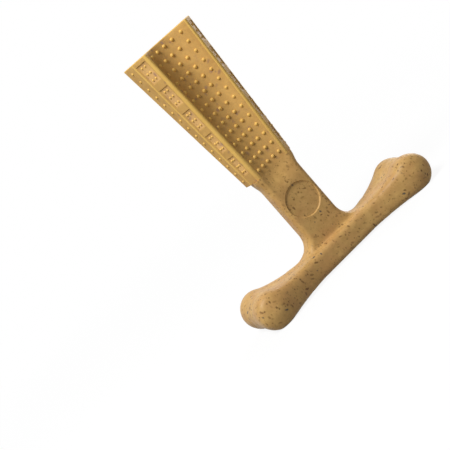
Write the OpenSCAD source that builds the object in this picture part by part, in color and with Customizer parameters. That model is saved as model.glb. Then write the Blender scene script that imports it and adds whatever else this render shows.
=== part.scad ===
// Chew toothbrush for a dog: a stiff bone-shaped handle, and a softer nubbed head moulded around its tongue.
// The brush stands on the bone. +Z runs up the handle, +X along the bone, and the dish faces -Y.

/* [Bone base] */
// Distance of a lobe's centre from the middle, along the bone
lobe_x = 36; // [30:0.5:42]
// Distance of a lobe's centre from the middle, front to back
lobe_y = 6.4; // [5.6:0.1:7]
// Radius of a lobe
lobe_r = 7.4; // [6.8:0.1:8.2]
// Depth of the flat foot cut under the lobes
lobe_foot = 1; // [0.4:0.1:1.5]
// Depth of the flat foot cut under the bar
bar_foot = 0.4; // [0.2:0.1:0.6]
// Height of the bar between the lobes
bar_h = 9.6; // [8:0.1:11]
// Depth of the bar, front to back
bar_d = 12.4; // [11.4:0.1:15]
// Distance from the middle at which the bar begins to part into arms
part_x = 10; // [8:0.5:14]
// How late an arm swells towards its lobe, where 1 is a straight cone
swell_power = 2.5; // [1.5:0.1:4]
// Step from an arm's surface out to its lobe's surface
lobe_step = 0.8; // [0.6:0.1:1.4]
// Half the height of the web between two arms, where they part
web_h = 2; // [1:0.1:3]

/* [Neck] */
// Width of the neck
neck_w = 16.6; // [15:0.1:19]
// Distance of the neck's front face from the bone's middle plane
neck_front = 2.8; // [2:0.1:4]
// Distance of the neck's back face from the bone's middle plane
neck_back = 5.8; // [5:0.1:7]
// Rounding of the neck's long edges
neck_edge_r = 2.6; // [1.5:0.1:3]
// Height at which the neck ends and the head begins
neck_top = 42.5; // [38:0.5:48]
// Width that the neck gains on each side just under the head
collar_w = 1.2; // [0.4:0.1:1.6]
// Length over which the neck gains that width
collar_h = 5.5; // [4:0.5:7]
// Radius of the fillet between the neck and the bar
fillet_r = 7; // [5:0.5:9]
// Length over which the dish runs out into the neck's face
runout = 8; // [4:0.5:8]

/* [Round recess] */
// Radius of the round recess in the neck
badge_r = 6.8; // [4:0.1:7]
// Depth of the round recess
badge_depth = 0.5; // [0.3:0.1:1]
// Height of the recess's centre
badge_z = 26.5; // [24:0.5:27]

/* [Tongue] */
// Length of the tongue inside the head
tongue_len = 48; // [36:1:52]
// Length of the tongue's root inside the neck
tongue_root = 2; // [1:0.5:4]
// Width of the tongue
tongue_w = 9; // [6:0.1:12]
// Head material between the tongue and the faces in front of it and behind it
cover = 1.6; // [1.2:0.1:2]
// Number of windows that the head's material fills, to lock it to the tongue
window_count = 3; // [1:1:4]
// Width of a window
window_w = 4; // [2:0.1:5]
// Length of a window
window_len = 6; // [3:0.5:7]

/* [Head] */
// Length of the head
head_len = 59.5; // [54:0.5:66]
// Half the dish's width at the neck
dish_x_neck = 6.6; // [6:0.1:7]
// Half the dish's width at the free end
dish_x_end = 9.3; // [8.5:0.1:10.5]
// Depth of the dish below its rim at the neck
dish_depth_neck = 1.8; // [1.4:0.1:2.4]
// Depth of the dish below its rim at the free end
dish_depth_end = 7.9; // [6:0.1:8.2]
// Distance of the rim from the bone's middle plane at the free end
rim_front_end = 5.1; // [4.5:0.1:6]
// Width of the plain rim on each side of the dish
rim_w = 0.8; // [0.5:0.1:1.2]
// Width that the sloping land adds beside the rim at the neck
land_x_neck = 2.8; // [2.4:0.1:3.5]
// Width that the sloping land adds beside the rim at the free end
land_x_end = 4; // [3.5:0.1:5]
// Drop of the land from the rim to its outer edge at the neck
land_drop_neck = 3.6; // [3:0.1:4.2]
// Drop of the land from the rim to its outer edge at the free end
land_drop_end = 6.7; // [6:0.1:7.5]
// Width that the side adds outside the land at the neck
side_x_neck = 0.8; // [0.4:0.1:1.2]
// Width that the side adds outside the land at the free end
side_x_end = 1.7; // [1:0.1:2.2]
// Drop of the side behind the land at the neck
side_drop_neck = 3.6; // [2.6:0.1:4]
// Drop of the side behind the land at the free end
side_drop_end = 7.2; // [6.6:0.1:8]
// Width and depth of the bevel between the side and the back
back_bevel = 1.8; // [1:0.1:2.5]

/* [Nubs] */
// Number of nubs along the dish
dish_nub_count = 14; // [8:1:16]
// Distance of the first and last nubs of the dish from the head's ends
dish_nub_margin = 2.5; // [1.5:0.1:4]
// Radius of a nub in the dish
dish_nub_r = 0.65; // [0.5:0.05:0.8]
// Number of recessed panels along each land
panel_count = 5; // [3:1:5]
// Length of plain land between two panels
panel_bar = 3; // [2:0.1:5]
// Plain border of a panel along the land's two edges
panel_border = 1; // [0.6:0.1:1.1]
// Depth of a panel
panel_depth = 0.5; // [0.3:0.1:0.6]
// Radius of a nub in a panel
panel_nub_r = 0.5; // [0.3:0.05:0.55]
// Number of nubs along each side
side_nub_count = 15; // [8:1:16]
// Distance of the first and last nubs of a side from the head's ends
side_nub_margin = 2.6; // [1.5:0.1:4]
// Radius of a nub on a side
side_nub_r = 0.6; // [0.4:0.05:0.8]

/* [Hidden] */
$fn = 64;
nub_sides = 6;
nub_tip = 0.55;
arc_steps = 24;
edge_steps = 3;
fillet_steps = 5;
collar_steps = 4;
bone_steps = 9;
ring_steps = 24;
lobe_sides = 36;
arm_x = lobe_x + lobe_r / 5;
bar_y = (bar_d - bar_h) / 2;
bar_z = bar_h / 2 - bar_foot;
bar_top = bar_z + bar_h / 2;
lobe_z = lobe_r - lobe_foot;
head_top = neck_top + head_len;
rim_front_neck = neck_front;
dish_rows = [-0.78, -0.39, 0, 0.39, 0.78];
panel_columns = 3;
panel_rows = [1 / 3, 2 / 3];
panel_pitch = (head_len - panel_bar) / panel_count;
panel_len = panel_pitch - panel_bar;
window_pitch = tongue_len / (window_count + 1);
floor_size = 4 * lobe_x;
overrun = 2;

function blend(from, to, t) = from + (to - from) * t;
function height(t) = blend(neck_top, head_top, t);

// Sizes of the head's section at t, from 0 at the neck to 1 at the free end
function dish_x(t) = blend(dish_x_neck, dish_x_end, t);
function dish_depth(t) = blend(dish_depth_neck, dish_depth_end, t);
function rim_front(t) = blend(rim_front_neck, rim_front_end, t);
function land_in(t) = [dish_x(t) + rim_w, -rim_front(t)];
function land_out(t) = land_in(t) + blend([land_x_neck, land_drop_neck], [land_x_end, land_drop_end], t);
function side_out(t) = land_out(t) + blend([side_x_neck, side_drop_neck], [side_x_end, side_drop_end], t);
function back_out(t) = side_out(t) + [-back_bevel, back_bevel];
function dish_floor(t) = -rim_front(t) + dish_depth(t);

// Point of the dish's arc at s, from -1 at one rim to 1 at the other
function arc_r(x, depth) = (x * x + depth * depth) / (2 * depth);
function arc_y(x, depth, s) = depth - arc_r(x, depth) + sqrt(pow(arc_r(x, depth), 2) - pow(s * x, 2));
function dish_end_point(x, depth, front, s) = [s * x, arc_y(x, depth, s) - front];
function dish_point(t, s) = blend(
    dish_end_point(dish_x_neck, dish_depth_neck, rim_front_neck, s),
    dish_end_point(dish_x_end, dish_depth_end, rim_front_end, s),
    t);
function dish_arc(t) = [for (i = [0 : arc_steps]) dish_point(t, 2 * i / arc_steps - 1)];

function mirrored(p) = [-p[0], p[1]];
function head_outline(t) = let (side = [land_in(t), land_out(t), side_out(t), back_out(t)])
    concat(dish_arc(t), side, [for (i = [len(side) - 1 : -1 : 0]) mirrored(side[i])]);

// Point of a land or side face, at s from its inner to its outer edge, raised by lift along the face's normal
function normal_of(edge) = [edge[1], -edge[0]] / norm(edge);
function face_point(from, to, s, lift) = blend(from, to, s) + lift * normal_of(to - from);
function land_point(t, s, lift) = face_point(land_in(t), land_out(t), s, lift);
function side_point(t, s, lift) = face_point(land_out(t), side_out(t), s, lift);
function land_len(t) = norm(land_out(t) - land_in(t));
function panel_start(i) = (panel_bar + i * panel_pitch) / head_len;
function panel_end(i) = panel_start(i) + panel_len / head_len;

function ring_at(outline, z) = [for (p = outline) [p[0], p[1], z]];

// Solid through rings of points that all have the same number of points, from the lowest ring to the highest
module skin(rings) {
    n = len(rings[0]);
    top = len(rings) - 1;
    polyhedron(
        points = [for (ring = rings, p = ring) p],
        faces = concat(
            [[for (i = [0 : n - 1]) i]],
            [for (k = [0 : top - 1], i = [0 : n - 1]) [k * n + (i + 1) % n, k * n + i, (k + 1) * n + i]],
            [for (k = [0 : top - 1], i = [0 : n - 1])
                [k * n + (i + 1) % n, (k + 1) * n + i, (k + 1) * n + (i + 1) % n]],
            [[for (i = [n - 1 : -1 : 0]) top * n + i]]));
}

module on_both_sides() {
    children();
    mirror([1, 0, 0]) children();
}

// Eased step from 0 at the first distance to 1 at the second
function ease(x, first, second) = (1 - cos(180 * min(1, max(0, (x - first) / (second - first))))) / 2;

// Share of the way from the bar's size to the lobe's that an arm has swollen at distance x from the middle
function swell(x) = pow(min(1, max(0, (x - part_x) / (lobe_x - part_x))), swell_power);

// Radius, half spacing and height of the two arms at distance x from the bone's middle
function arm_r(x) = blend(bar_h / 2, lobe_r - lobe_step, swell(x));
function arm_y(x) = blend(bar_y, lobe_y, ease(x, part_x, lobe_x));
function arm_z(x) = blend(bar_z, lobe_z, swell(x));

// Distance of the outline of two arms of radius r, spaced y from the middle, in the direction of angle a
function arm_reach(r, y, a) = y * abs(cos(a)) + sqrt(max(pow(web_h, 2), pow(r, 2) - pow(y * sin(a), 2)));
function bone_ring(x) = [
    for (i = [0 : ring_steps - 1])
        let (a = 360 * (i + 0.5) / ring_steps, reach = arm_reach(arm_r(x), arm_y(x), a))
        [x, reach * cos(a), arm_z(x) + reach * sin(a)]];

module lobe(side) {
    translate([lobe_x, side * lobe_y, lobe_z]) sphere(lobe_r, $fn = lobe_sides);
}

module half_bone() {
    skin([for (i = [0 : bone_steps]) bone_ring(arm_x * i / bone_steps)]);
    lobe(1);
    lobe(-1);
}

module bone() {
    on_both_sides() half_bone();
}

// Half the neck's width at height z, which grows in an arc towards the bar and eases out towards the head
function neck_x(z) = neck_w / 2 + fillet_r - sqrt(pow(fillet_r, 2) - pow(max(0, bar_top + fillet_r - z), 2))
    + collar_w * ease(z, neck_top - collar_h, neck_top);

// Outline of the neck at height z, with its edges rounded
function neck_outline(z) = [
    for (corner = [[1, -1], [1, 1], [-1, 1], [-1, -1]], step = [0 : edge_steps])
        let (a = 90 * (corner[0] * corner[1] < 0 ? step : edge_steps - step) / edge_steps)
        [corner[0] * (neck_x(z) - neck_edge_r * (1 - sin(a))),
            corner[1] * ((corner[1] < 0 ? neck_front : neck_back) - neck_edge_r * (1 - cos(a)))]];

module neck() {
    levels = concat(
        [for (i = [0 : fillet_steps]) bar_top + fillet_r * i / fillet_steps],
        [for (i = [0 : collar_steps]) neck_top - collar_h * (1 - i / collar_steps)]);
    skin([for (z = concat([bar_z], levels)) ring_at(neck_outline(max(z, bar_top)), z)]);
}

// Scoop that lets the dish run out into the neck's face
module dish_runout() {
    r = arc_r(dish_x_neck, dish_depth_neck);
    tilt = atan2(dish_depth_neck, runout);
    below = 2 * runout;
    above = r * sin(tilt) + overrun;
    translate([0, dish_floor(0) - r, neck_top]) rotate([-tilt, 0, 0])
        translate([0, 0, -below]) cylinder(h = below + above, r = r);
}

module tongue() {
    tip = tongue_len / head_len;
    window_depth = 2 * back_out(1)[1];
    side_view = [
        [dish_floor(0) + cover, neck_top - tongue_root],
        [back_out(0)[1] - cover, neck_top - tongue_root],
        [back_out(0)[1] - cover, neck_top],
        [back_out(tip)[1] - cover, neck_top + tongue_len],
        [dish_floor(tip) + cover, neck_top + tongue_len],
        [dish_floor(0) + cover, neck_top]];
    difference() {
        translate([-tongue_w / 2, 0, 0]) rotate([90, 0, 90]) linear_extrude(tongue_w) polygon(side_view);
        for (i = [1 : window_count])
            translate([0, 0, neck_top + i * window_pitch])
                cube([window_w, window_depth, window_len], center = true);
    }
}

// Short six-sided nub at p and height z, along the level direction out, with its root sunk into the face
module nub(p, z, out, r) {
    translate([p[0], p[1], z]) rotate([0, 90, atan2(out[1], out[0])]) hull() {
        translate([0, 0, -r / 2]) cylinder(h = r / 2, r = r, $fn = nub_sides);
        cylinder(h = r, r = nub_tip * r, $fn = nub_sides);
    }
}

module dish_nubs() {
    z_pitch = (head_len - 2 * dish_nub_margin) / (dish_nub_count - 1);
    for (i = [0 : dish_nub_count - 1], s = dish_rows) {
        t = (dish_nub_margin + i * z_pitch) / head_len;
        centre = [0, dish_floor(t) - arc_r(dish_x(t), dish_depth(t))];
        nub(dish_point(t, s), height(t), centre - dish_point(t, s), dish_nub_r);
    }
}

// Outline of the block that cuts a panel, from the panel's floor to the same distance in front of the land
function panel_outline(t) = let (border = panel_border / land_len(t)) [
    land_point(t, border, panel_depth),
    land_point(t, 1 - border, panel_depth),
    land_point(t, 1 - border, -panel_depth),
    land_point(t, border, -panel_depth)];

module panel(i) {
    skin([for (t = [panel_start(i), panel_end(i)]) ring_at(panel_outline(t), height(t))]);
}

module panel_nubs(i) {
    for (column = [0 : panel_columns - 1], s = panel_rows) {
        t = blend(panel_start(i), panel_end(i), (column + 0.5) / panel_columns);
        nub(land_point(t, s, -panel_depth), height(t), normal_of(land_out(t) - land_in(t)), panel_nub_r);
    }
}

module side_nubs() {
    z_pitch = (head_len - 2 * side_nub_margin) / (side_nub_count - 1);
    for (i = [0 : side_nub_count - 1]) {
        t = (side_nub_margin + i * z_pitch) / head_len;
        nub(side_point(t, 0.5, 0), height(t), normal_of(side_out(t) - land_out(t)), side_nub_r);
    }
}

module bone_handle() {
    color([0.65, 0.51, 0.31]) difference() {
        union() {
            bone();
            neck();
            tongue();
        }
        translate([0, 0, -lobe_r]) cube([floor_size, floor_size, 2 * lobe_r], center = true);
        translate([0, badge_depth - neck_front, badge_z])
            rotate([90, 0, 0]) cylinder(h = neck_front, r = badge_r);
        dish_runout();
    }
}

module brush_head() {
    color([0.78, 0.63, 0.36]) {
        difference() {
            skin([ring_at(head_outline(0), neck_top), ring_at(head_outline(1), head_top)]);
            tongue();
            on_both_sides() for (i = [0 : panel_count - 1]) panel(i);
        }
        dish_nubs();
        on_both_sides() {
            for (i = [0 : panel_count - 1]) panel_nubs(i);
            side_nubs();
        }
    }
}

bone_handle();
brush_head();
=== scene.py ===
import math

import bmesh
import bpy
from mathutils import Matrix, Vector


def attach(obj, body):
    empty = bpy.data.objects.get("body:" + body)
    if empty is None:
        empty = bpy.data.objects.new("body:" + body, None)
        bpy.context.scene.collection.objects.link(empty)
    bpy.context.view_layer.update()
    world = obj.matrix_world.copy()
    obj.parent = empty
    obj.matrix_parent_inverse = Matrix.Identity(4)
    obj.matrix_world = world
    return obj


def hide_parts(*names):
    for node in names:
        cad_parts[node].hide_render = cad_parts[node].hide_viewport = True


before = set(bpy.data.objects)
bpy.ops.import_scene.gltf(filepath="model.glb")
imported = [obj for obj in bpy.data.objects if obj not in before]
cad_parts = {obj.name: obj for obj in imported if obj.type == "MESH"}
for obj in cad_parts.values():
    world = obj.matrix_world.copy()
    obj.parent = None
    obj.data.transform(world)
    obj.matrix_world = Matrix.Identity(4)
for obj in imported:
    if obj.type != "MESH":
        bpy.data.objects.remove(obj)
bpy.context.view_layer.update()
mm = 0.001
print("frame loaded with nodes", sorted(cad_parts))


def ease(value, low, high):
    t = min(1.0, max(0.0, (value - low) / (high - low)))
    return t * t * (3 - 2 * t)


def blend(pair, t):
    return pair[0] + (pair[1] - pair[0]) * t


# camera, at the angle from which the brush was seen, in degrees and millimetres
shot = {
    "azimuth": -14.19, "elevation": 9.02, "roll": 41.53,
    "lens": 96.65, "distance": 431.5, "target": (0.0, 0.0, 48.05),
    "slideRight": -26.34, "slideUp": -10.17, "clipStart": 10.0,
}


def placeCamera(name):
    azimuth, elevation, roll = (math.radians(shot[k]) for k in ("azimuth", "elevation", "roll"))
    level = math.cos(elevation)
    back = Vector((math.sin(azimuth) * level, -math.cos(azimuth) * level, math.sin(elevation)))
    right = Vector((math.cos(azimuth), math.sin(azimuth), 0))
    up = back.cross(right)
    camRight = right * math.cos(roll) - up * math.sin(roll)
    camUp = right * math.sin(roll) + up * math.cos(roll)
    place = Vector(shot["target"]) + back * shot["distance"]
    place = place + right * shot["slideRight"] + up * shot["slideUp"]
    data = bpy.data.cameras.new(name)
    data.lens = shot["lens"]
    data.clip_start = shot["clipStart"] * mm
    camera = bpy.data.objects.new(name, data)
    turned = Matrix((camRight, camUp, back)).transposed().to_4x4()
    camera.matrix_world = Matrix.Translation(place * mm) @ turned
    bpy.context.scene.collection.objects.link(camera)
    bpy.context.scene.camera = camera


placeCamera("brushCamera")
print("camera placed")

# shader helpers
colourMix = {"inputs": (0, 6, 7), "result": 2}  # places of a mix node's colour sockets


def addNode(tree, kind, **values):
    node = tree.nodes.new(kind)
    for name, value in values.items():
        setattr(node, name, value)
    return node


def setInputs(node, **values):
    for name, value in values.items():
        node.inputs[name.replace("_", " ")].default_value = value
    return node


def feed(tree, value, socket):
    if isinstance(value, bpy.types.NodeSocket):
        tree.links.new(value, socket)
    else:
        socket.default_value = value


def mathNode(tree, operation, first, second):
    node = addNode(tree, "ShaderNodeMath", operation=operation)
    for socket, value in zip(node.inputs, (first, second)):
        feed(tree, value, socket)
    return node.outputs[0]


def mixColour(tree, factor, first, second):
    node = addNode(tree, "ShaderNodeMix", data_type="RGBA")
    for place, value in zip(colourMix["inputs"], (factor, first, second)):
        feed(tree, value, node.inputs[place])
    return node.outputs[colourMix["result"]]


def spread(tree, value, low, high, outLow=0.0, outHigh=1.0):
    node = addNode(tree, "ShaderNodeMapRange", interpolation_type="SMOOTHSTEP")
    ends = {"Value": value, "From Min": low, "From Max": high, "To Min": outLow, "To Max": outHigh}
    for label, end in ends.items():
        feed(tree, end, node.inputs[label])
    return node.outputs["Result"]


def newGroup(name, inputs, outputs):
    tree = bpy.data.node_groups.new(name, "ShaderNodeTree")
    tree.interface.new_socket(name="Vector", in_out="INPUT", socket_type="NodeSocketVector")
    for direction, labels in (("INPUT", inputs), ("OUTPUT", outputs)):
        for label in labels:
            tree.interface.new_socket(name=label, in_out=direction, socket_type="NodeSocketFloat")
    return tree, addNode(tree, "NodeGroupInput"), addNode(tree, "NodeGroupOutput")


# slivers of plant fibre in the plastic, lying in several directions; reaches are shares of a cell
fibreLay = {
    "turns": ((0.3, 0.5, 0.2), (1.2, 0.4, 2.1), (2.2, 1.3, 0.9), (0.8, 2.5, 1.7)),
    "ragged": 0.0005, "raggedScale": 1500.0, "raggedDetail": 2.0,
    "small": 0.12, "large": 0.37, "faint": 0.3, "greyOver": 0.94,
}


def addSlivers(tree, turn, spot, sizes, limit, core):
    lay = addNode(tree, "ShaderNodeMapping", vector_type="TEXTURE")
    lay.inputs["Rotation"].default_value = turn
    tree.links.new(spot, lay.inputs["Vector"])
    tree.links.new(sizes, lay.inputs["Scale"])
    cells = setInputs(addNode(tree, "ShaderNodeTexVoronoi"), Scale=1.0, Randomness=1.0)
    tree.links.new(lay.outputs[0], cells.inputs["Vector"])
    draw = addNode(tree, "ShaderNodeSeparateColor")
    tree.links.new(cells.outputs["Color"], draw.inputs[0])
    chosen = mathNode(tree, "GREATER_THAN", draw.outputs[0], limit)
    reach = spread(tree, draw.outputs[1], 0.0, 1.0, fibreLay["small"], fibreLay["large"])
    share = mathNode(tree, "DIVIDE", cells.outputs["Distance"], reach)
    blob = spread(tree, share, core, 1.0, 1.0, 0.0)
    depth = spread(tree, draw.outputs[2], 0.0, 1.0, fibreLay["faint"], 1.0)
    sliver = mathNode(tree, "MULTIPLY", mathNode(tree, "MULTIPLY", blob, chosen), depth)
    greyOnes = mathNode(tree, "GREATER_THAN", draw.outputs[2], fibreLay["greyOver"])
    return sliver, mathNode(tree, "MULTIPLY", sliver, greyOnes)


def makeFibreGroup(name):
    tree, start, end = newGroup(name, ("Length", "Width", "Amount", "Core"), ("Mask", "Grey"))
    noise = addNode(tree, "ShaderNodeTexNoise")
    setInputs(noise, Scale=fibreLay["raggedScale"], Detail=fibreLay["raggedDetail"])
    tree.links.new(start.outputs["Vector"], noise.inputs["Vector"])
    shift = addNode(tree, "ShaderNodeVectorMath", operation="MULTIPLY_ADD")
    tree.links.new(noise.outputs["Color"], shift.inputs[0])
    shift.inputs[1].default_value = (fibreLay["ragged"],) * 3
    tree.links.new(start.outputs["Vector"], shift.inputs[2])
    sizes = addNode(tree, "ShaderNodeCombineXYZ")
    for socket, label in zip(sizes.inputs, ("Length", "Width", "Width")):
        tree.links.new(start.outputs[label], socket)
    limit = mathNode(tree, "SUBTRACT", 1.0, start.outputs["Amount"])
    mask, grey = 0.0, 0.0
    for turn in fibreLay["turns"]:
        slivers, greyOnes = addSlivers(tree, turn, shift.outputs[0], sizes.outputs[0], limit,
                                       start.outputs["Core"])
        mask = mathNode(tree, "MAXIMUM", mask, slivers)
        grey = mathNode(tree, "MAXIMUM", grey, greyOnes)
    tree.links.new(mask, end.inputs["Mask"])
    tree.links.new(grey, end.inputs["Grey"])
    return tree


# cloudy colour and fine skin of a moulding
moulding = {
    "cloud": {"Detail": 4.0, "Roughness": 0.6, "Distortion": 0.6}, "cloudSpread": (0.3, 0.7),
    "grain": {"Detail": 3.0, "Roughness": 0.55}, "grainSpread": (0.3, 0.7), "grainHeight": 0.0003,
}


def makeSkinGroup(name):
    tree, start, end = newGroup(name, ("Cloud Scale", "Grain Scale"), ("Cloud", "Grain"))
    cloud = setInputs(addNode(tree, "ShaderNodeTexNoise"), **moulding["cloud"])
    grain = setInputs(addNode(tree, "ShaderNodeTexNoise"), **moulding["grain"])
    for node, label in ((cloud, "Cloud Scale"), (grain, "Grain Scale")):
        tree.links.new(start.outputs["Vector"], node.inputs["Vector"])
        tree.links.new(start.outputs[label], node.inputs["Scale"])
    tree.links.new(spread(tree, cloud.outputs["Fac"], *moulding["cloudSpread"]), end.inputs["Cloud"])
    tree.links.new(grain.outputs["Fac"], end.inputs["Grain"])
    return tree


fibreGroup = makeFibreGroup("plantFibre")
skinGroup = makeSkinGroup("mouldedSkin")

# the two plastics meet at the neck's top, where each colour fades towards the other's
handleFinish = {
    "pale": (0.62, 0.385, 0.128, 1), "deep": (0.54, 0.3, 0.105, 1), "mottle": (0.4, 0.22, 0.06, 1),
    "cloudScale": 120.0, "mottleScale": 480.0, "mottleStrength": 0.42,
    "fibre": (0.12, 0.05, 0.011, 1), "fibreGrey": (0.06, 0.065, 0.06, 1),
    "length": 0.0036, "width": 0.0015, "amount": 0.5, "core": 0.45, "strength": 0.9,
    "dustLength": 0.002, "dustWidth": 0.001, "dustAmount": 0.4, "dustStrength": 0.5,
    "grainScale": 1500.0, "rough": (0.42, 0.56), "bump": 0.1, "specular": 0.3,
    "fade": (0.029, 0.0425), "fadeShares": (0.0, 0.6),
}
headFinish = {
    "pale": (0.7, 0.42, 0.125, 1), "deep": (0.59, 0.35, 0.105, 1), "mottle": (0.45, 0.24, 0.075, 1),
    "cloudScale": 120.0, "mottleScale": 420.0, "mottleStrength": 0.35,
    "fibre": (0.25, 0.135, 0.11, 1), "fibreGrey": (0.3, 0.19, 0.18, 1),
    "length": 0.0046, "width": 0.0026, "amount": 0.5, "core": 0.1, "strength": 0.75,
    "dustLength": 0.002, "dustWidth": 0.001, "dustAmount": 0.25, "dustStrength": 0.35,
    "grainScale": 1500.0, "rough": (0.5, 0.64), "bump": 0.1, "specular": 0.18,
    "fade": (0.0425, 0.056), "fadeShares": (0.4, 0.0),
}
# painted shade and painted reflection: the panel floors are tinted a little greyer and bluer than the
# rails, for the shade they lie in and the pale sheen they take at a grazing angle
panelShadeSheenTint = dict(headFinish, pale=(0.69, 0.415, 0.148, 1), deep=(0.57, 0.34, 0.13, 1))
# painted highlight: a paler, more yellow tone laid on the nubs, the rounded edges and the rim bands, where
# the light catches them
highlightFinish = dict(headFinish, pale=(0.84, 0.53, 0.14, 1), deep=(0.77, 0.475, 0.115, 1), amount=0.0,
                    mottleStrength=0.0)


def placeGroup(tree, group, vector, **values):
    node = addNode(tree, "ShaderNodeGroup", node_tree=group)
    tree.links.new(vector, node.inputs["Vector"])
    return setInputs(node, **values)


def makePlastic(name, finish, other):
    material = bpy.data.materials.new(name)
    material.use_nodes = True
    tree = material.node_tree
    shader = tree.nodes["Principled BSDF"]
    spot = addNode(tree, "ShaderNodeTexCoord").outputs["Object"]
    height = addNode(tree, "ShaderNodeSeparateXYZ")
    tree.links.new(spot, height.inputs[0])
    fade = spread(tree, height.outputs["Z"], *finish["fade"], *finish["fadeShares"])
    skin = placeGroup(tree, skinGroup, spot, Cloud_Scale=finish["cloudScale"],
                      Grain_Scale=finish["grainScale"])
    mottle = placeGroup(tree, skinGroup, spot, Cloud_Scale=finish["mottleScale"])
    fibre = placeGroup(tree, fibreGroup, spot, Length=finish["length"], Width=finish["width"],
                       Amount=finish["amount"], Core=finish["core"])
    dust = placeGroup(tree, fibreGroup, spot, Length=finish["dustLength"], Width=finish["dustWidth"],
                      Amount=finish["dustAmount"], Core=finish["core"])

    cloud = skin.outputs["Cloud"]
    own, far = (mixColour(tree, cloud, tone["deep"], tone["pale"]) for tone in (finish, other))
    colour = mixColour(tree, fade, own, far)
    mottleMask = mathNode(tree, "MULTIPLY", mottle.outputs["Cloud"], finish["mottleStrength"])
    colour = mixColour(tree, mottleMask, colour, finish["mottle"])
    dustMask = mathNode(tree, "MULTIPLY", dust.outputs["Mask"], finish["dustStrength"])
    colour = mixColour(tree, dustMask, colour, finish["fibre"])
    fibreColour = mixColour(tree, fibre.outputs["Grey"], finish["fibre"], finish["fibreGrey"])
    clear = mathNode(tree, "MULTIPLY", mathNode(tree, "SUBTRACT", 1.0, fade), finish["strength"])
    fibreMask = mathNode(tree, "MULTIPLY", fibre.outputs["Mask"], clear)
    colour = mixColour(tree, fibreMask, colour, fibreColour)
    tree.links.new(colour, shader.inputs["Base Color"])

    grain = skin.outputs["Grain"]
    rough = spread(tree, grain, *moulding["grainSpread"], *finish["rough"])
    tree.links.new(rough, shader.inputs["Roughness"])
    shader.inputs["Specular IOR Level"].default_value = finish["specular"]
    bump = addNode(tree, "ShaderNodeBump")
    setInputs(bump, Strength=finish["bump"], Distance=moulding["grainHeight"])
    tree.links.new(grain, bump.inputs["Height"])
    tree.links.new(bump.outputs["Normal"], shader.inputs["Normal"])
    return material


fleckNylon = makePlastic("fleckNylon", handleFinish, headFinish)
headCompound = makePlastic("headCompound", headFinish, handleFinish)
panelShadeAndSheen = makePlastic("panelShadeAndSheen", panelShadeSheenTint, handleFinish)
# material of the painted highlight
paintedHighlightCompound = makePlastic("paintedHighlightCompound", highlightFinish, handleFinish)  # nubs, edges and rim bands
print("plastics mixed")


# mesh helpers
def meshFrom(name, bm):
    mesh = bpy.data.meshes.new(name)
    bm.to_mesh(mesh)
    bm.free()
    return mesh


def newPiece(name, bm, *materials):
    mesh = meshFrom(name, bm)
    for material in materials:
        mesh.materials.append(material)
    piece = bpy.data.objects.new(name, mesh)
    bpy.context.scene.collection.objects.link(piece)
    return piece


def sliceAt(bm, z, clearBelow=False, clearAbove=False):
    everything = bm.verts[:] + bm.edges[:] + bm.faces[:]
    bmesh.ops.bisect_plane(bm, geom=everything, plane_co=(0, 0, z), plane_no=(0, 0, 1),
                           clear_inner=clearBelow, clear_outer=clearAbove)
    if clearBelow or clearAbove:
        bmesh.ops.holes_fill(bm, edges=[e for e in bm.edges if e.is_boundary], sides=0)


def roundEdges(bm, edges, size, steps):
    return bmesh.ops.bevel(bm, geom=edges, offset=size, affect="EDGES", segments=steps, profile=0.5,
                           material=-1, clamp_overlap=True)["faces"]


def shadeSmooth(bm):
    bmesh.ops.recalc_face_normals(bm, faces=bm.faces)
    for face in bm.faces:
        face.smooth = True


# a stamp is a small mesh that is placed many times
def makeBall(name, rings, cutAt=None):
    bm = bmesh.new()
    bmesh.ops.create_uvsphere(bm, u_segments=2 * rings, v_segments=rings, radius=1.0)
    if cutAt is not None:
        sliceAt(bm, cutAt, clearBelow=True)
    return meshFrom(name, bm)


def addStamp(bm, stamp, place, finishIndex=0):
    placed = stamp.copy()
    placed.transform(place)
    placed.polygons.foreach_set("material_index", [finishIndex] * len(placed.polygons))
    bm.from_mesh(placed)
    bpy.data.meshes.remove(placed)


# bone base, neck and round recess, in millimetres and degrees
bone = {
    "lobe": (36.0, 6.4, 6.4), "lobeR": 7.4, "lobeRings": 28,
    "barR": 4.45, "barY": 1.75, "barZ": 4.95,
    "partX": 10.0, "swellPower": 2.5, "armEndR": 7.0, "beadStep": 1.0, "beadRings": 12,
    "faceDeep": 0.5, "faceEdge": 0.45, "faceEdgeSteps": 6, "faceSides": 40, "faceTo": 34.0,
    "slopeStep": 0.5, "fillShare": 0.94, "lobeFaceIn": 1.1,
    "neckHalf": 8.3, "neckFront": 2.8, "neckBack": 5.8, "neckEdge": 3.0, "edgeSteps": 8, "neckTop": 42.5,
    "filletR": 7.0, "filletSteps": 8, "collarW": 1.2, "collarH": 5.5, "collarSteps": 5, "spare": 3.0,
    "voxel": 0.4, "smoothFactor": 0.5, "smoothTurns": ((0.0, 10), (12.0, 15), (20.0, 30)),
    "recessZ": 26.5, "recessR": 6.8, "recessDip": 0.5, "recessWall": 0.4,
    "refineBands": ((-7.0, 1.0), (-0.9, 0.5)), "refineFacing": 0.8,  # bands about the recess's edge
    "scoopFrom": 33.5, "scoopX": 6.6, "scoopDip": 1.8, "dipFacing": (0.3, 0.8), "sharpOver": 50.0,
}
barTop = bone["barZ"] + bone["barR"]


# flat round face on the outer side of an arm or lobe, with a soft edge
def makeFace(name):
    bm = bmesh.new()
    bmesh.ops.create_cone(bm, cap_ends=True, segments=bone["faceSides"], radius1=1.0, radius2=1.0,
                          depth=2 * bone["faceDeep"])
    rims = [e for e in bm.edges if e.verts[0].co.z * e.verts[1].co.z > 0]
    roundEdges(bm, rims, bone["faceEdge"], bone["faceEdgeSteps"])
    bmesh.ops.rotate(bm, cent=(0, 0, 0), matrix=Matrix.Rotation(math.radians(90), 3, "X"), verts=bm.verts)
    return meshFrom(name, bm)


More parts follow.
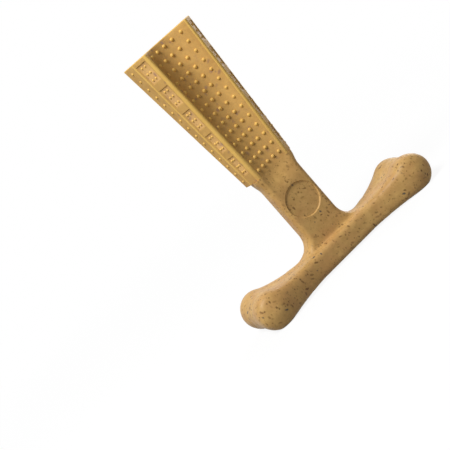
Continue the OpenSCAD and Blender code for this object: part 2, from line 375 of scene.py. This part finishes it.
# half spacing, height and radius of the two arms at distance x from the middle
def armAt(x):
    lobeX, lobeY, lobeZ = bone["lobe"]
    parted = ease(abs(x), bone["partX"], lobeX)
    swell = max(0.0, (abs(x) - bone["partX"]) / (lobeX - bone["partX"])) ** bone["swellPower"]
    y = blend((bone["barY"], lobeY), parted)
    z = blend((bone["barZ"], lobeZ), swell)
    return y, z, blend((bone["barR"], bone["armEndR"]), swell)


def faceSlope(x):
    step = bone["slopeStep"]
    before, after = armAt(x - step), armAt(x + step)
    return ((after[0] + after[2]) - (before[0] + before[2])) / (2 * step)


def addBall(bm, ball, x, y, z, radius):
    addStamp(bm, ball, Matrix.Translation(Vector((x, y, z)) * mm) @ Matrix.Scale(radius * mm, 4))


def addFace(bm, face, x, y, z, radius, side, turn=0.0):
    centre = Vector((x, side * (y + radius * (1 - bone["faceDeep"])), z)) * mm
    turned = Matrix.Translation(centre) @ Matrix.Rotation(turn, 4, "Z")
    addStamp(bm, face, turned @ Matrix.Scale(radius * mm, 4))


# fill between the front and the rear arm or lobe
def addFill(bm, face, x, y, z, radius):
    wide = radius * bone["fillShare"] * mm
    sizes = Matrix.Diagonal((wide, y / bone["faceDeep"] * mm, wide, 1))
    addStamp(bm, face, Matrix.Translation(Vector((x, 0, z)) * mm) @ sizes)


def addArms(bm):
    lobeX, lobeY, lobeZ = bone["lobe"]
    bead = makeBall("armBead", bone["beadRings"])
    lobe = makeBall("lobeBall", bone["lobeRings"])
    face = makeFace("armFace")
    steps = round(lobeX / bone["beadStep"])
    for i in range(-steps, steps + 1):
        x = lobeX * i / steps
        y, z, radius = armAt(x)
        addFill(bm, face, x, y, z, radius)
        for side in (-1, 1):
            addBall(bm, bead, x, side * y, z, radius)
            if abs(x) < bone["faceTo"]:
                addFace(bm, face, x, y, z, radius, side, math.atan(side * faceSlope(x)))
    for x in (-lobeX, lobeX):
        addFill(bm, face, x, lobeY, lobeZ, bone["lobeR"])
        for side in (-1, 1):
            addBall(bm, lobe, x, side * lobeY, lobeZ, bone["lobeR"])
            addFace(bm, face, x, lobeY - bone["lobeFaceIn"], lobeZ, bone["lobeR"], side)
    for stamp in (bead, lobe, face):
        bpy.data.meshes.remove(stamp)


def neckHalfAt(z):
    left = max(0.0, barTop + bone["filletR"] - z)
    flare = bone["filletR"] - math.sqrt(bone["filletR"] ** 2 - left ** 2)
    collar = bone["collarW"] * ease(z, bone["neckTop"] - bone["collarH"], bone["neckTop"])
    return bone["neckHalf"] + flare + collar


# heights at which the neck changes width, up to a spare length that is cut off
def neckLevels():
    fillet = [k / bone["filletSteps"] for k in range(1, bone["filletSteps"] + 1)]
    collar = [1 - k / bone["collarSteps"] for k in range(bone["collarSteps"] + 1)]
    levels = [barTop + bone["filletR"] * share for share in fillet]
    levels += [bone["neckTop"] - bone["collarH"] * share for share in collar]
    return levels + [bone["neckTop"] + bone["spare"]]


def addNeck(bm):
    slab = bmesh.new()
    deep = bone["neckFront"] + bone["neckBack"]
    middle = (bone["neckBack"] - bone["neckFront"]) / 2
    half = bone["neckHalf"] + bone["filletR"]
    bmesh.ops.create_cube(slab, size=1.0)
    bmesh.ops.scale(slab, vec=(2 * half, deep, barTop - bone["barZ"]), verts=slab.verts)
    bmesh.ops.translate(slab, vec=(0, middle, (barTop + bone["barZ"]) / 2), verts=slab.verts)
    upright = [e for e in slab.edges if abs(e.verts[0].co.z - e.verts[1].co.z) > bone["barR"] / 2]
    roundEdges(slab, upright, bone["neckEdge"], bone["edgeSteps"])
    top = max(slab.faces, key=lambda f: f.calc_center_median().z)
    for z in neckLevels():
        newHalf = neckHalfAt(z)
        made = bmesh.ops.extrude_face_region(slab, geom=[top])["geom"]
        if top.is_valid:
            bmesh.ops.delete(slab, geom=[top], context="FACES_ONLY")
        raised = [g for g in made if isinstance(g, bmesh.types.BMVert)]
        top = next(g for g in made if isinstance(g, bmesh.types.BMFace))
        bmesh.ops.translate(slab, vec=(0, 0, z - raised[0].co.z), verts=raised)
        bmesh.ops.scale(slab, vec=(newHalf / half, 1, 1), verts=raised)
        half = newHalf
    bmesh.ops.recalc_face_normals(slab, faces=slab.faces)
    bmesh.ops.scale(slab, vec=(mm, mm, mm), verts=slab.verts)
    shape = meshFrom("neckSlab", slab)
    bm.from_mesh(shape)
    bpy.data.meshes.remove(shape)


# depth of the recess and of the dish's run-out in the neck's front face
def neckDip(x, z):
    away = math.hypot(x, z - bone["recessZ"])
    recess = bone["recessDip"] * (1 - ease(away, bone["recessR"] - bone["recessWall"], bone["recessR"]))
    hollow = max(0.0, 1 - (x / bone["scoopX"]) ** 2)
    scoop = bone["scoopDip"] * hollow * ease(z, bone["scoopFrom"], bone["neckTop"])
    return recess + scoop


def fuse(piece):
    remesh = piece.modifiers.new("fuse", "REMESH")
    remesh.mode = "VOXEL"
    remesh.voxel_size = bone["voxel"] * mm
    bpy.context.view_layer.update()
    fused = bpy.data.meshes.new_from_object(piece.evaluated_get(bpy.context.evaluated_depsgraph_get()))
    bpy.data.objects.remove(piece)
    return fused


def smoothOut(bm):
    for outwards, turns in bone["smoothTurns"]:
        soft = [v for v in bm.verts if abs(v.co.x) >= outwards * mm]
        for turn in range(turns):
            bmesh.ops.smooth_vert(bm, verts=soft, factor=bone["smoothFactor"],
                                  use_axis_x=True, use_axis_y=True, use_axis_z=True)


def inBand(v, near, far):
    away = math.hypot(v.co.x, v.co.z - bone["recessZ"] * mm)
    return v.normal.y < -bone["refineFacing"] and near * mm <= away < far * mm


def refineRecess(bm):
    for inner, outer in bone["refineBands"]:
        near = max(0.0, bone["recessR"] + inner)
        far = bone["recessR"] + outer
        bm.normal_update()
        inside = [e for e in bm.edges if all(inBand(v, near, far) for v in e.verts)]
        bmesh.ops.subdivide_edges(bm, edges=inside, cuts=1, use_grid_fill=True)


def pressDips(bm):
    bm.normal_update()
    for v in bm.verts:
        x, y, z = v.co / mm
        if y < 0 and z > barTop and abs(x) < bone["neckHalf"]:
            v.co.y += neckDip(x, z) * ease(-v.normal.y, *bone["dipFacing"]) * mm


def makeHandle():
    rough = bmesh.new()
    addArms(rough)
    addNeck(rough)
    fused = fuse(newPiece("handleRough", rough))
    bm = bmesh.new()
    bm.from_mesh(fused)
    bpy.data.meshes.remove(fused)
    smoothOut(bm)
    refineRecess(bm)
    pressDips(bm)
    sliceAt(bm, 0, clearBelow=True)
    sliceAt(bm, bone["neckTop"] * mm, clearAbove=True)
    shadeSmooth(bm)
    piece = newPiece("boneHandle", bm, fleckNylon)
    piece.data.set_sharp_from_angle(angle=math.radians(bone["sharpOver"]))
    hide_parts("bone_handle")
    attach(piece, "root")
    print("bone handle made, faces", len(piece.data.polygons))


makeHandle()

# nubbed head, in millimetres and degrees; pairs run from the neck to the free end
head = {
    "base": 42.5, "length": 59.5, "arcSteps": 20,
    "dishX": (6.6, 9.3), "dishDepth": (1.8, 7.9), "rimFront": (2.8, 5.1), "rimWidth": 0.8,
    "landX": (2.8, 4.0), "landDrop": (3.6, 6.7), "sideX": (0.8, 1.7), "sideDrop": (3.6, 7.2),
    "backBevel": 1.8, "edgeRound": 0.38, "edgeSteps": 4, "endRound": 0.7, "endSteps": 3,
    "baseRound": 1.2, "baseSteps": 4,
    "landFacing": (0.7, 0.92), "landFront": 0.4, "landArea": 10.0,  # tells a rail's sloping face
    "panels": 5, "panelBar": 3.0, "panelShift": 1.2, "rimBand": 1.1, "panelBorder": 0.5,
    "panelDepth": 0.32, "panelWall": 0.5, "sliver": 0.002, "level": 0.0001, "sharpOver": 42.0,
}
nubs = {
    "rows": (-0.78, -0.39, 0.0, 0.39, 0.78), "dishCount": 14, "dishMargin": 2.5, "dishR": 0.72,
    "panelRows": (1 / 3, 2 / 3), "panelColumns": 3, "panelR": 0.5, "panelSink": 0.16,
    "sideCount": 15, "sideMargin": 2.6, "sideAcross": 0.5, "sideR": 0.62, "sideSink": 0.25,
    "rings": 8, "root": -0.4,
}
finishPlace = {"compound": 0, "panels": 1, "paintedHighlight": 2}  # order of the head's materials


def headZ(t):
    return head["base"] + head["length"] * t


def headCorners(t):
    landIn = Vector((blend(head["dishX"], t) + head["rimWidth"], -blend(head["rimFront"], t)))
    landOut = landIn + Vector((blend(head["landX"], t), blend(head["landDrop"], t)))
    sideOut = landOut + Vector((blend(head["sideX"], t), blend(head["sideDrop"], t)))
    backOut = sideOut + Vector((-head["backBevel"], head["backBevel"]))
    return [landIn, landOut, sideOut, backOut]


def dishSizes(t):
    return [blend(head[k], t) for k in ("dishX", "dishDepth", "rimFront")]


def arcRadius(x, deep):
    return (x * x + deep * deep) / (2 * deep)


# closed outline of the head at t, whose vertices outside the dish are returned
def headRing(bm, t):
    x, deep, front = dishSizes(t)
    centre = Vector((0, deep - front - arcRadius(x, deep), headZ(t)))
    first = bm.verts.new((-x, -front, headZ(t)))
    sweep = 2 * (math.atan2(-front - centre.y, -x) - math.pi / 2)
    last = bmesh.ops.spin(bm, geom=[first], cent=centre, axis=(0, 0, 1), angle=-sweep,
                          steps=head["arcSteps"])["geom_last"][0]
    corners = headCorners(t)
    outer = [bm.verts.new((c.x, c.y, headZ(t))) for c in corners]
    outer += [bm.verts.new((-c.x, c.y, headZ(t))) for c in reversed(corners)]
    chain = [last] + outer + [first]
    for pair in zip(chain, chain[1:]):
        bm.edges.new(pair)
    return chain


# gives faces the paler colour of the painted highlight
def paintHighlightOn(faces):
    for face in faces:
        face.material_index = finishPlace["paintedHighlight"]


def makeHeadBody(bm):
    chains, loops = [], []
    for t in (0.0, 1.0):
        chains.append(headRing(bm, t))
        loops.append([e for e in bm.edges if all(abs(v.co.z - headZ(t)) < head["level"] for v in e.verts)])
    bmesh.ops.bridge_loops(bm, edges=loops[0] + loops[1])
    for loop in loops:
        bmesh.ops.edgeloop_fill(bm, edges=loop)
    bmesh.ops.recalc_face_normals(bm, faces=bm.faces)
    longEdges = [e for e in (bm.edges.get(pair) for pair in zip(*chains)) if e]
    # painted highlight: the rounded long edges and the rounded end edges take the paler colour
    paintHighlightOn(roundEdges(bm, longEdges, head["edgeRound"], head["edgeSteps"]))
    endCap = max(bm.faces, key=lambda f: f.calc_center_median().z)
    paintHighlightOn(roundEdges(bm, list(endCap.edges), head["endRound"], head["endSteps"]))
    baseCap = min(bm.faces, key=lambda f: f.calc_center_median().z)
    outside = head["dishX"][0] + head["rimWidth"]
    outer = [e for e in baseCap.edges if all(abs(v.co.x) > outside for v in e.verts)]
    roundEdges(bm, outer, head["baseRound"], head["baseSteps"])


def onLand(face):
    low, high = head["landFacing"]
    outwards = face.normal.x * math.copysign(1, face.calc_center_median().x)
    turned = low < outwards < high and face.normal.y < -head["landFront"]
    return turned and face.calc_area() > head["landArea"]


# painted highlight: the band along each rail beside the dish, where the rounded rim catches the light,
# takes the paler colour
def paintRimHighlights(bm):
    for side in (-1, 1):
        spots, runs = [], []
        for t in (0.0, 1.0):
            landIn, landOut = headCorners(t)[:2]
            run = landOut - landIn
            spot = landIn + run.normalized() * head["rimBand"]
            spots.append(Vector((side * spot.x, spot.y, headZ(t))))
            runs.append(Vector((side * run.x, run.y, 0)).normalized())
        along = (spots[1] - spots[0]).normalized()
        across = runs[0] + runs[1]
        across = (across - along * across.dot(along)).normalized()
        bm.normal_update()
        land = [f for f in bm.faces if onLand(f) and f.calc_center_median().x * side > 0]
        near = {g for f in land for g in [f, *f.edges, *f.verts]}
        bmesh.ops.bisect_plane(bm, geom=list(near), plane_co=spots[0], plane_no=across)
        bm.normal_update()
        land = [f for f in bm.faces if onLand(f) and f.calc_center_median().x * side > 0]
        paintHighlightOn(f for f in land if (f.calc_center_median() - spots[0]).dot(across) < 0)


# distance of a panel from the head's base, and its length
def panelSpan(i):
    pitch = (head["length"] - head["panelBar"]) / head["panels"]
    return head["panelBar"] + head["panelShift"] + i * pitch, pitch - head["panelBar"]


def cutPanels(bm):
    border = head["panelBorder"]
    cells = []
    for i in range(head["panels"]):
        low, length = panelSpan(i)
        cells.append((headZ(0) + low - border, headZ(0) + low + length + border))
    for z in [z for cell in cells for z in cell]:
        sliceAt(bm, z)
    bm.normal_update()
    chosen = [f for f in bm.faces if onLand(f) and f.material_index == finishPlace["compound"]
              and any(low < f.calc_center_median().z < high for low, high in cells)]
    bmesh.ops.inset_individual(bm, faces=chosen, thickness=border)
    bmesh.ops.inset_individual(bm, faces=chosen, thickness=head["panelWall"], depth=-head["panelDepth"])
    # panel floors take the painted shade and reflection tint
    for face in chosen:
        face.material_index = finishPlace["panels"]
    print("panels cut", len(chosen))


def addNub(bm, dome, spot, z, out, radius):
    turn = Vector((out.x, out.y, 0)).to_track_quat("Z", "Y").to_matrix().to_4x4()
    place = Matrix.Translation((spot.x, spot.y, z)) @ turn @ Matrix.Scale(radius, 4)
    # painted highlight: every nub takes the paler colour, for its lit top
    addStamp(bm, dome, place, finishPlace["paintedHighlight"])


# place of nub i in a row along the head, from 0 at the neck to 1 at the free end
def nubShare(i, count, margin):
    step = (head["length"] - 2 * margin) / (count - 1)
    return (margin + i * step) / head["length"]


def facePoint(start, stop, s, lift):
    run = stop - start
    normal = Vector((run.y, -run.x)).normalized()
    return start.lerp(stop, s) + normal * lift, normal


def arcPoint(x, deep, front, s):
    radius = arcRadius(x, deep)
    return Vector((s * x, deep - radius + math.sqrt(radius ** 2 - (s * x) ** 2) - front))


def addDishNubs(bm, dome):
    neckEnd, freeEnd = dishSizes(0.0), dishSizes(1.0)
    for i in range(nubs["dishCount"]):
        t = nubShare(i, nubs["dishCount"], nubs["dishMargin"])
        x, deep, front = dishSizes(t)
        centre = Vector((0, deep - front - arcRadius(x, deep)))
        for s in nubs["rows"]:
            spot = arcPoint(*neckEnd, s).lerp(arcPoint(*freeEnd, s), t)
            addNub(bm, dome, spot, headZ(t), centre - spot, nubs["dishR"])


def mirrored(v):
    return Vector((-v.x, v.y))


def panelNubs(i):
    low, length = panelSpan(i)
    lift = -head["panelDepth"] - nubs["panelSink"]
    for column in range(nubs["panelColumns"]):
        t = (low + length * (column + 0.5) / nubs["panelColumns"]) / head["length"]
        landIn, landOut = headCorners(t)[:2]
        width = (landOut - landIn).length
        across = (head["rimBand"] + head["panelBorder"]) / width, 1 - head["panelBorder"] / width
        for row in nubs["panelRows"]:
            spot, out = facePoint(landIn, landOut, blend(across, row), lift)
            yield spot, t, out, nubs["panelR"]


def sideNubs():
    for i in range(nubs["sideCount"]):
        t = nubShare(i, nubs["sideCount"], nubs["sideMargin"])
        landOut, sideOut = headCorners(t)[1:3]
        spot, out = facePoint(landOut, sideOut, nubs["sideAcross"], -nubs["sideSink"])
        yield spot, t, out, nubs["sideR"]


def addRailNubs(bm, dome):
    spots = [nub for i in range(head["panels"]) for nub in panelNubs(i)] + list(sideNubs())
    for spot, t, out, radius in spots:
        addNub(bm, dome, spot, headZ(t), out, radius)
        addNub(bm, dome, mirrored(spot), headZ(t), mirrored(out), radius)


def makeHead():
    bm = bmesh.new()
    makeHeadBody(bm)
    paintRimHighlights(bm)
    cutPanels(bm)
    bmesh.ops.dissolve_degenerate(bm, dist=head["sliver"], edges=bm.edges)
    dome = makeBall("nubDome", nubs["rings"], nubs["root"])
    addDishNubs(bm, dome)
    addRailNubs(bm, dome)
    bpy.data.meshes.remove(dome)
    bmesh.ops.scale(bm, vec=(mm, mm, mm), verts=bm.verts)
    shadeSmooth(bm)
    piece = newPiece("brushHead", bm, headCompound, panelShadeAndSheen, paintedHighlightCompound)
    piece.data.set_sharp_from_angle(angle=math.radians(head["sharpOver"]))
    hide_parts("brush_head")
    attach(piece, "root")
    print("brush head made, faces", len(piece.data.polygons))


makeHead()

# pale floor and plain soft light, in metres
studio = {
    "floorSize": 6.0, "floorBounce": (0.25, 0.25, 0.25, 1), "floorSeen": (0.9, 0.9, 0.9, 1),
    "floorRough": 0.9, "floorWhite": (0.9, 1.0), "floorFade": (0.12, 0.4), "white": (1, 1, 1, 1),
    "fill": 0.18, "aim": (0, 0, 0.05),
}
softBoxes = {
    "keyBox": {"from": (-0.45, -0.33, 0.83), "distance": 0.8, "size": 0.35, "power": 7.2},
    "rimBox": {"from": (0.75, 0.5, 0.3), "distance": 0.8, "size": 0.5, "power": 3.0},
}


def cameraSees(tree):
    path = addNode(tree, "ShaderNodeLightPath")
    seen = mathNode(tree, "MAXIMUM", path.outputs["Is Camera Ray"], path.outputs["Is Glossy Ray"])
    return mathNode(tree, "MAXIMUM", seen, path.outputs["Is Transmission Ray"])


# the floor shows white further out, and keeps a faint shadow near the brush
def makeFloor():
    bm = bmesh.new()
    bmesh.ops.create_grid(bm, x_segments=1, y_segments=1, size=studio["floorSize"] / 2)
    material = bpy.data.materials.new("paleFloor")
    material.use_nodes = True
    tree = material.node_tree
    shader = setInputs(tree.nodes["Principled BSDF"], Roughness=studio["floorRough"])
    seen = cameraSees(tree)
    tone = mixColour(tree, seen, studio["floorBounce"], studio["floorSeen"])
    tree.links.new(tone, shader.inputs["Base Color"])
    glow = setInputs(addNode(tree, "ShaderNodeEmission"), Color=studio["white"], Strength=1.0)
    away = addNode(tree, "ShaderNodeVectorMath", operation="LENGTH")
    tree.links.new(addNode(tree, "ShaderNodeTexCoord").outputs["Object"], away.inputs[0])
    white = spread(tree, away.outputs["Value"], *studio["floorFade"], *studio["floorWhite"])
    mix = addNode(tree, "ShaderNodeMixShader")
    tree.links.new(mathNode(tree, "MULTIPLY", seen, white), mix.inputs[0])
    tree.links.new(shader.outputs[0], mix.inputs[1])
    tree.links.new(glow.outputs[0], mix.inputs[2])
    tree.links.new(mix.outputs[0], tree.nodes["Material Output"].inputs["Surface"])
    newPiece("paleFloor", bm, material)


def makeLight():
    world = bpy.data.worlds.new("studioWorld")
    world.use_nodes = True
    tree = world.node_tree
    sky = setInputs(tree.nodes["Background"], Color=studio["white"])
    level = spread(tree, cameraSees(tree), 0.0, 1.0, studio["fill"], 1.0)
    tree.links.new(level, sky.inputs["Strength"])
    bpy.context.scene.world = world
    for name, box in softBoxes.items():
        data = bpy.data.lights.new(name, "AREA")
        data.shape = "SQUARE"
        data.size = box["size"]
        data.energy = box["power"]
        light = bpy.data.objects.new(name, data)
        away = Vector(box["from"]).normalized()
        turn = away.to_track_quat("Z", "Y").to_matrix().to_4x4()
        light.matrix_world = Matrix.Translation(Vector(studio["aim"]) + away * box["distance"]) @ turn
        bpy.context.scene.collection.objects.link(light)
    bpy.context.scene.view_settings.view_transform = "Standard"


makeFloor()
makeLight()
print("floor and light set")
